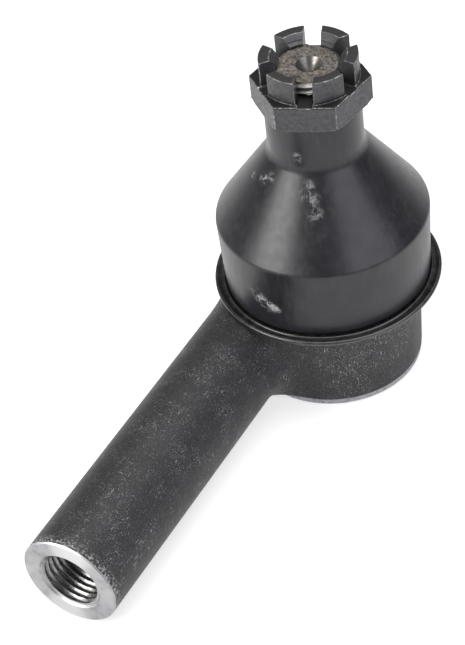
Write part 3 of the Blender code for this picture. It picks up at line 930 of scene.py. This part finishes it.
def boot_outside(inset, neck_radius, neck_fillet, shoulder_fillet):
    """The boot's surface from its neck to its shoulder, moved inwards by inset."""
    angle = math.radians(CONE_ANGLE)
    skirt_height = BOOT_SHOULDER_Z - BOOT_LOW.z
    skirt_lean = math.degrees(math.atan((BOOT_HIGH.x - SKIRT_FOOT_RADIUS) / skirt_height))
    shoulder = BOOT_HIGH.x - inset
    shoulder_z = BOOT_SHOULDER_Z - inset * math.tan(angle / 2)
    cone_top = neck_radius + neck_fillet * (1.0 - math.cos(angle))
    cone_top_z = shoulder_z + (shoulder - cone_top) / math.tan(angle)
    points = arc(
        neck_radius + neck_fillet,
        cone_top_z + neck_fillet * math.sin(angle),
        neck_fillet,
        180.0,
        180.0 + CONE_ANGLE,
        14,
    )
    points += arc(
        shoulder - shoulder_fillet + BOOT_SHOULDER_BULGE,
        shoulder_z - shoulder_fillet * math.tan(angle / 2),
        shoulder_fillet,
        CONE_ANGLE,
        -skirt_lean,
        12,
    )
    return points


def keep_rest_place(piece):
    """Stores where each point is at rest, for a finish that follows a bending surface."""
    places = np.empty(3 * len(piece.data.vertices), dtype=np.float32)
    piece.data.vertices.foreach_get("co", places)
    stored = piece.data.attributes.new(REST_PLACE, "FLOAT_VECTOR", "POINT")
    stored.data.foreach_set("vector", places)


def dust_boot():
    """Rubber shell of revolution, open at both ends, from its foot up to its neck."""
    outer_rows, inner_rows = 0.0008, 0.0012
    inner_shoulder_fillet = 0.0006
    foot, foot_round = SKIRT_FOOT_RADIUS, SKIRT_FOOT_ROUND
    # The skirt is a little wider just above its foot, and its wall thins towards it
    foot_flare, foot_thinning = 0.0001, 0.0002
    inner_foot = foot - BOOT_WALL + foot_thinning
    inner_neck = NECK_RADIUS - NECK_WALL
    outer = arc(NECK_RADIUS - NECK_LIP, BOOT_HIGH.z - NECK_LIP, NECK_LIP, 90.0, 0.0, 5)
    outer += boot_outside(0.0, NECK_RADIUS, NECK_FILLET, BOOT_SHOULDER_FILLET)
    outer += [(foot + foot_flare, BOOT_LOW.z + SKIRT_FOOT_HEIGHT)]
    outer += arc(foot - foot_round, BOOT_LOW.z + foot_round, foot_round, 0.0, -90.0, 5)
    inner = [(inner_neck, BOOT_HIGH.z)]
    inner += boot_outside(BOOT_WALL, inner_neck, NECK_FILLET + BOOT_WALL, inner_shoulder_fillet)
    inner += [(inner_foot, BOOT_LOW.z)]
    outline = with_rows(outer, outer_rows) + with_rows(inner, inner_rows)[::-1]
    boot = turned("rubber_boot", outline, [boot_rubber()], segments=160, closed=True)
    shade(boot, RUBBER_SHARP_ANGLE)
    keep_rest_place(boot)
    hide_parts("dust_boot")
    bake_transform(boot)


def stud_blank(finishes):
    """Ball, neck and taper up to the thread, turned in one piece."""
    row_spacing = 0.002
    ball_radius = BALL_Z - STUD_LOW.z
    neck_angle = math.degrees(math.acos(STUD_NECK_RADIUS / ball_radius))
    # The core ends inside the thread, a little slimmer than its root
    core_radius, core_end = STUD_ROOT_RADIUS - 0.0001, THREAD_START + TOOL_REACH
    outline = arc(0.0, BALL_Z, ball_radius, -90.0, neck_angle, 40)
    outline += STUD_TAPER
    outline += [(STUD_ROOT_RADIUS, THREAD_START - THREAD_RELIEF)]
    outline += [(core_radius, core_end), (0.0, core_end)]
    return turned("ball_and_stud", with_rows(outline, row_spacing), finishes, segments=96)


def centre_drill(finish):
    """Centre hole in the stud's top: a 60 degree cone over a short pilot."""
    top = STUD_HIGH.z
    reach = TOOL_REACH
    outline = [
        (0.0, top + reach),
        (DRILL_MOUTH_RADIUS + reach * math.tan(math.radians(30)), top + reach),
        (DRILL_PILOT_RADIUS, top - DRILL_CONE_DEPTH),
        (DRILL_PILOT_RADIUS, top - DRILL_PILOT_DEPTH),
        (0.0, top - DRILL_DEPTH),
    ]
    return turned("centre_drill", outline, [finish], segments=64)


def cotter_drill(finish):
    """Cross hole for a cotter pin, in line with two of the nut's slots."""
    half = 0.01
    outline = [(0.0, -half), (COTTER_RADIUS, -half), (COTTER_RADIUS, half), (0.0, half)]
    hole = turned("cotter_drill", outline, [finish], segments=48)
    turn = Matrix.Rotation(NUT_YAW, 4, "Z") @ Matrix.Rotation(math.radians(90), 4, "X")
    hole.data.transform(Matrix.Translation((0.0, 0.0, COTTER_Z)) @ turn)
    return hole


def stud():
    steel = bright_steel("stud_steel", 0.34, (0.36, 0.355, 0.35))
    drilled = bright_steel("drilled_steel", 0.36, (0.20, 0.19, 0.185))
    body = stud_blank([steel, stud_end_steel(), drilled])
    thread = screw(
        "stud_thread",
        STUD_ROOT_RADIUS,
        STUD_CREST_RADIUS,
        THREAD_START,
        STUD_HIGH.z,
        [steel],
        tip_radius=STUD_TIP_RADIUS,
    )
    combine(body, thread, "UNION")
    combine(body, centre_drill(drilled), "DIFFERENCE")
    combine(body, cotter_drill(steel), "DIFFERENCE")
    mark_end_face(body)
    shade(body)
    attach(body, "stud")
    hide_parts("ball_stud")


def mark_end_face(body):
    """Gives the stud's flat top the sawn finish."""
    level, flat_top = 0.99, STUD_HIGH.z - 1e-5
    slot = body.data.materials.find("stud_end")
    for face in body.data.polygons:
        if face.normal.z > level and face.center.z > flat_top:
            face.material_index = slot


def nut_hexagon():
    points = []
    for step in range(6):
        angle = NUT_YAW - math.radians(90) + SIXTH_TURN * (step + 0.5)
        points.append((NUT_CORNER_RADIUS * math.cos(angle), NUT_CORNER_RADIUS * math.sin(angle)))
    return points


def nut_envelope():
    """Turned outside of the nut: chamfered below, with the crown on top."""
    corner = NUT_CORNER_RADIUS
    outside = corner + TOOL_REACH
    flare_z = NUT_LOW.z + 0.0015
    return [
        (0.0, NUT_LOW.z),
        (corner - NUT_CHAMFER_WIDTH, NUT_LOW.z),
        (corner, NUT_LOW.z + NUT_CHAMFER_HEIGHT),
        (outside, flare_z),
        (outside, NUT_SHOULDER_Z),
        (CROWN_RADIUS, NUT_SHOULDER_Z),
        (CROWN_RADIUS, NUT_HIGH.z),
        (0.0, NUT_HIGH.z),
    ]


def slot_cutter(index):
    """Cutter for one of the six slots, with round lower corners."""
    half, corner, floor_z = SLOT_WIDTH / 2, SLOT_CORNER, SLOT_FLOOR_Z
    above_nut = NUT_HIGH.z + LONG_REACH
    inner_end, outer_end = FEMALE_ROOT_RADIUS - LONG_REACH, 0.014
    outline = [(-half, above_nut)]
    outline += arc(-half + corner, floor_z + corner, corner, 180.0, 270.0, 8)
    outline += arc(half - corner, floor_z + corner, corner, 270.0, 360.0, 8)
    outline += [(half, above_nut)]
    cutter = prism(f"slot_cutter_{index}", outline, inner_end, outer_end, [])
    upright = Matrix.Rotation(math.radians(90), 4, "X")
    cutter.data.transform(Matrix.Rotation(NUT_YAW + SIXTH_TURN * index, 4, "Z") @ upright)
    return cutter


def wear_edges(nut):
    """Rounds the sharp edges outside the countersink and gives them the worn finish."""
    sharp_angle = math.radians(28)
    inner_limit = NUT_SINK_RADIUS - 0.0001
    worn_slot = 1
    bm = bmesh.new()
    bm.from_mesh(nut.data)
    sharp = []
    for edge in bm.edges:
        outside = all(vert.co.xy.length > inner_limit for vert in edge.verts)
        if outside and edge.calc_face_angle(0.0) > sharp_angle:
            sharp.append(edge)
    bmesh.ops.bevel(
        bm,
        geom=sharp,
        offset=NUT_EDGE,
        segments=2,
        profile=0.5,
        affect="EDGES",
        clamp_overlap=False,
        material=worn_slot,
    )
    bm.to_mesh(nut.data)
    bm.free()


def castle_nut():
    # The coating gets painted shade round the nut's shoulder, where the slot floors and hex top lie in shadow
    coating = phosphate("nut_phosphate", painted_shade_height=NUT_SHOULDER_Z, top_height=NUT_HIGH.z)
    finishes = [coating, worn_edge()]
    low, high = NUT_LOW.z - TOOL_REACH, NUT_HIGH.z + TOOL_REACH
    nut = prism("castellated_nut", nut_hexagon(), low, high, finishes)
    envelope = turned("nut_envelope", nut_envelope(), finishes, segments=120)
    combine(nut, envelope, "INTERSECT")
    for index in range(6):
        combine(nut, slot_cutter(index), "DIFFERENCE")
    pilot_radius = FEMALE_ROOT_RADIUS - 0.0002
    pilot = [(0.0, low), (pilot_radius, low), (pilot_radius, high), (0.0, high)]
    combine(nut, turned("nut_pilot", pilot, finishes, segments=90), "DIFFERENCE")
    sink = [(0.0, NUT_HIGH.z - NUT_SINK_RADIUS), (NUT_SINK_RADIUS + TOOL_REACH, high), (0.0, high)]
    combine(nut, turned("nut_countersink", sink, finishes, segments=90), "DIFFERENCE")
    tap = screw("nut_tap", FEMALE_ROOT_RADIUS, FEMALE_CREST_RADIUS, low, high, [coating])
    combine(nut, tap, "DIFFERENCE")
    wear_edges(nut)
    shade(nut)
    flatten = nut.modifiers.new("flatten", "WEIGHTED_NORMAL")
    flatten.keep_sharp = True
    apply_modifiers(nut)
    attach(nut, "nut")
    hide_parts("castle_nut")


def dress_hidden_nodes():
    """Finishes for the CAD parts that sit inside the socket and the boot's neck."""
    nylon, dark_plastic, spring_grey = (0.72, 0.70, 0.62), (0.05, 0.05, 0.055), (0.35, 0.35, 0.36)
    finishes = {
        "upper_ball_seat": plastic("seat_nylon", nylon),
        "lower_pressure_cup": plastic("cup_nylon", nylon),
        "boot_neck_bush": plastic("bush_plastic", dark_plastic),
        "preload_spring": bright_steel("spring_steel", 0.3, spring_grey),
    }
    for node, finish in finishes.items():
        mesh = frame["nodes"][node].data
        mesh.materials.clear()
        mesh.materials.append(finish)


# ---------------------------------------------------------------- studio


def floor():
    bm = bmesh.new()
    bmesh.ops.create_grid(bm, x_segments=8, y_segments=8, size=FLOOR_HALF_WIDTH)
    mesh = bpy.data.meshes.new("studio_floor")
    bm.to_mesh(mesh)
    bm.free()
    mesh.materials.append(pale_floor())
    plane = bpy.data.objects.new("studio_floor", mesh)
    plane.location.z = cad_low.z - FLOOR_GAP
    bpy.context.scene.collection.objects.link(plane)


def direction(azimuth, elevation):
    """Unit vector towards an azimuth, 0 at -Y and 90 at +X, and an elevation, in degrees."""
    across, lift = math.radians(azimuth), math.radians(elevation)
    flat = math.cos(lift)
    return Vector((math.sin(across) * flat, -math.cos(across) * flat, math.sin(lift)))


def softbox(name, azimuth, elevation, distance, size, power, color=(1.0, 1.0, 1.0)):
    """A rectangular lamp, width by height, that faces the light centre from a distance."""
    light = bpy.data.lights.new(name, "AREA")
    light.color = color
    light.shape = "RECTANGLE"
    light.size, light.size_y = size
    light.energy = power
    lamp = bpy.data.objects.new(name, light)
    away = direction(azimuth, elevation)
    lamp.location = LIGHT_CENTRE + away * distance
    lamp.rotation_euler = away.to_track_quat("Z", "Y").to_euler()
    bpy.context.scene.collection.objects.link(lamp)


def studio_world():
    """Soft surroundings: bright overhead, dark at the horizon and below."""
    horizon, overhead = (0.02, 0.02, 0.022, 1.0), (0.6, 0.6, 0.6, 1.0)
    world = bpy.data.worlds.new("studio")
    world.use_nodes = True
    tree = world.node_tree
    place = tree.nodes.new("ShaderNodeTexCoord")
    split = tree.nodes.new("ShaderNodeSeparateXYZ")
    ramp = tree.nodes.new("ShaderNodeValToRGB")
    tree.links.new(place.outputs["Generated"], split.inputs[0])
    tree.links.new(split.outputs["Z"], ramp.inputs["Fac"])
    tree.links.new(ramp.outputs["Color"], tree.nodes["Background"].inputs["Color"])
    stops = ramp.color_ramp.elements
    stops[0].position, stops[0].color = 0.0, horizon
    stops[1].position, stops[1].color = 0.8, overhead
    tree.nodes["Background"].inputs["Strength"].default_value = 0.6
    bpy.context.scene.world = world


def lighting():
    warm, cool = (1.0, 0.985, 0.96), (0.90, 0.92, 1.0)
    studio_world()
    softbox("overhead", 150.0, 80.0, distance=0.9, size=(0.9, 0.9), power=9.5)
    softbox("left_box", -31.0, 28.0, distance=0.6, size=(0.36, 0.32), power=3.5, color=warm)
    softbox("right_box", 78.0, 28.0, distance=0.7, size=(0.6, 0.4), power=2.1, color=cool)


def camera():
    """Puts the camera at the set angle, shifted across its view and rolled."""
    data = bpy.data.cameras.new("camera")
    data.lens = CAMERA_LENS
    data.sensor_width = 36.0
    data.clip_start = 0.01
    data.clip_end = 20.0
    view = bpy.data.objects.new("camera", data)
    azimuth = math.radians(CAMERA_AZIMUTH)
    back = direction(CAMERA_AZIMUTH, CAMERA_ELEVATION)
    level = Vector((math.cos(azimuth), math.sin(azimuth), 0.0))
    upright = back.cross(level)
    place = CAMERA_TARGET + back * CAMERA_DISTANCE
    place = place + level * CAMERA_OFFSET.x + upright * CAMERA_OFFSET.y
    axes = Matrix((level, upright, back)).transposed().to_4x4()
    roll = Matrix.Rotation(math.radians(CAMERA_ROLL), 4, "Z")
    view.matrix_world = Matrix.Translation(place) @ axes @ roll
    bpy.context.scene.collection.objects.link(view)
    bpy.context.scene.camera = view


camera()
housing()
cover_plate()
base_ring()
dust_boot()
stud()
castle_nut()
dress_hidden_nodes()
floor()
lighting()
bpy.context.scene.view_settings.view_transform = "Standard"
